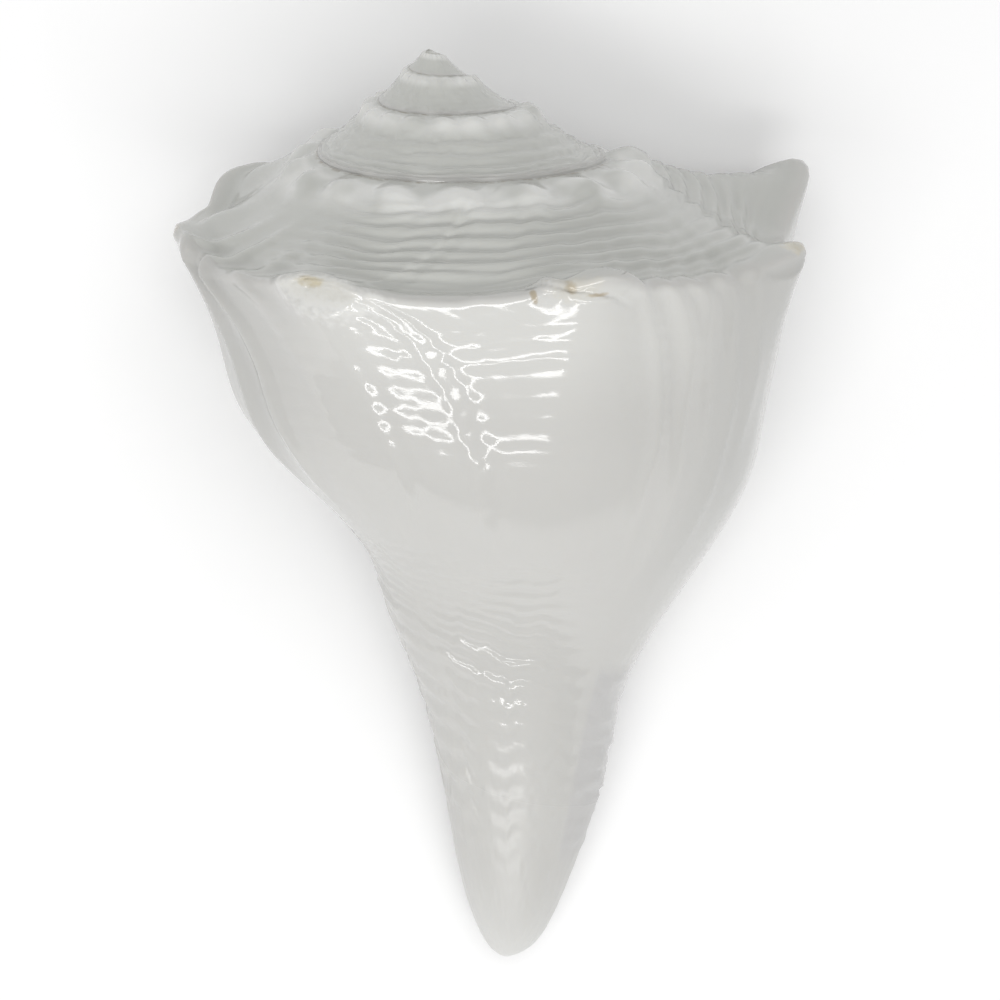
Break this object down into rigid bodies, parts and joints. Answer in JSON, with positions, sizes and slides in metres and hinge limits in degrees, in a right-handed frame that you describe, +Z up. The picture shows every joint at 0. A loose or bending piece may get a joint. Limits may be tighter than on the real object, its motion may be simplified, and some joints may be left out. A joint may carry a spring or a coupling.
{
  "type": "conch shell",
  "caption": "Left-handed knobbed whelk shell, bleached white, lying on its mouth with its rounded back up: a loose decorative sea shell.",
  "frame": {"origin": "middle of the footprint, on the surface the shell lies on", "axes": "+Y toward the spire apex, -Y toward the tip of the siphonal canal, +X toward the lip lobe, +Z up out of the rounded back"},
  "size_m": [0.1268, 0.1822, 0.0961],
  "materials": {
    "bleached_shell": "glossy bleached shell lime, faint grey cast on the ramp, cream worn knob tips"
  },
  "bodies": {
    "root": {"shell": "bleached_shell"}
  },
  "joints": []
}
